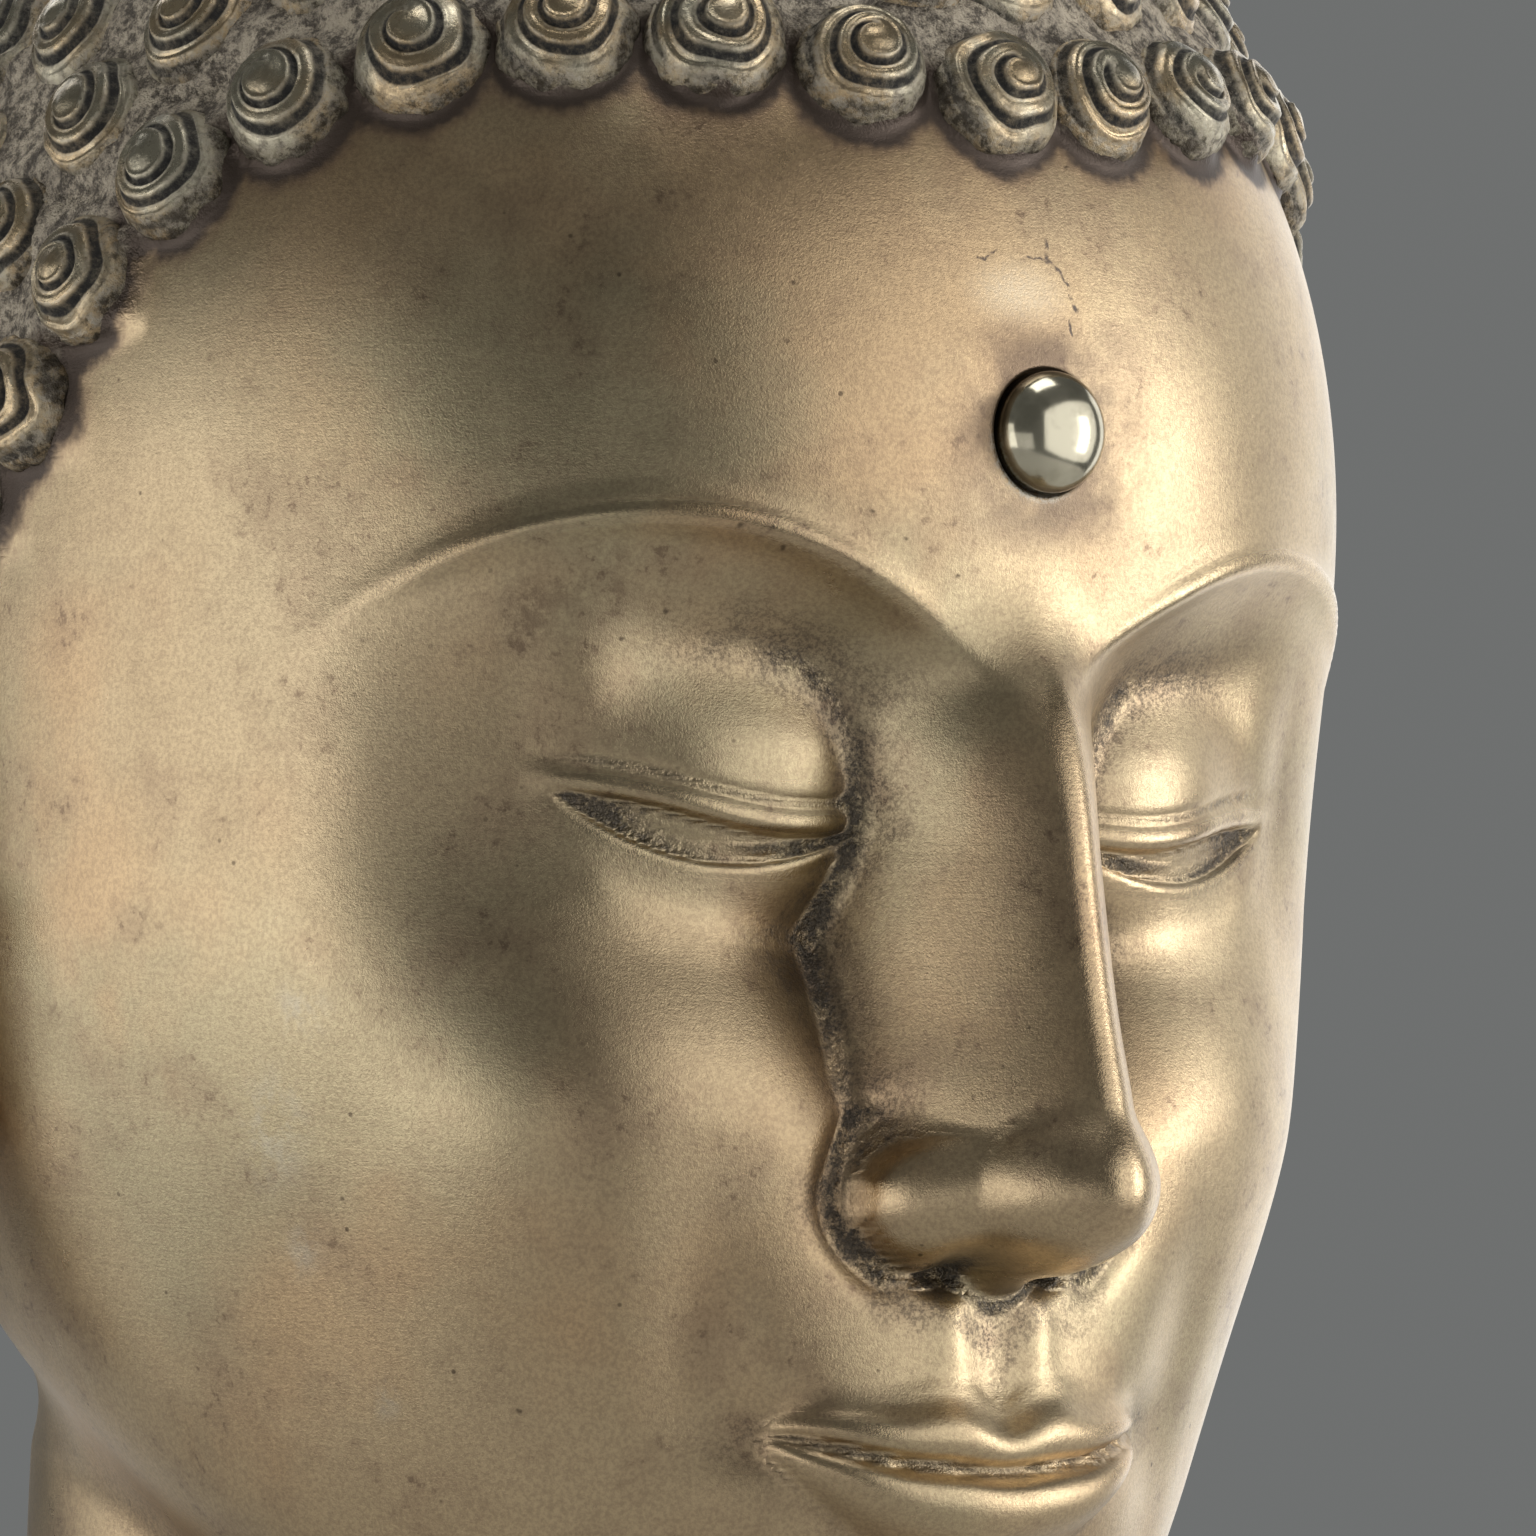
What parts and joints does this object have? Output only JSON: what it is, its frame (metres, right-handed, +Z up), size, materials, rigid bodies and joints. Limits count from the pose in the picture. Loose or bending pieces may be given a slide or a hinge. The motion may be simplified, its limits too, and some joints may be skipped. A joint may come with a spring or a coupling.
{
  "type": "buddha head",
  "caption": "Life-size cast metal head of a buddha with snail-shell curls, long-lobed ears and a domed forehead boss, cut flat below the neck.",
  "frame": {"origin": "middle of the flat underside of the neck", "axes": "+Z up the head, the face looks along -Y, +X is the head's own left side"},
  "size_m": [0.1938, 0.2238, 0.3515],
  "materials": {
    "head": "satin, aged cast bronze with dark patina in the hollows",
    "urna": "polished pale metal"
  },
  "bodies": {
    "root": {"head": "head", "urna": "urna"}
  },
  "joints": []
}
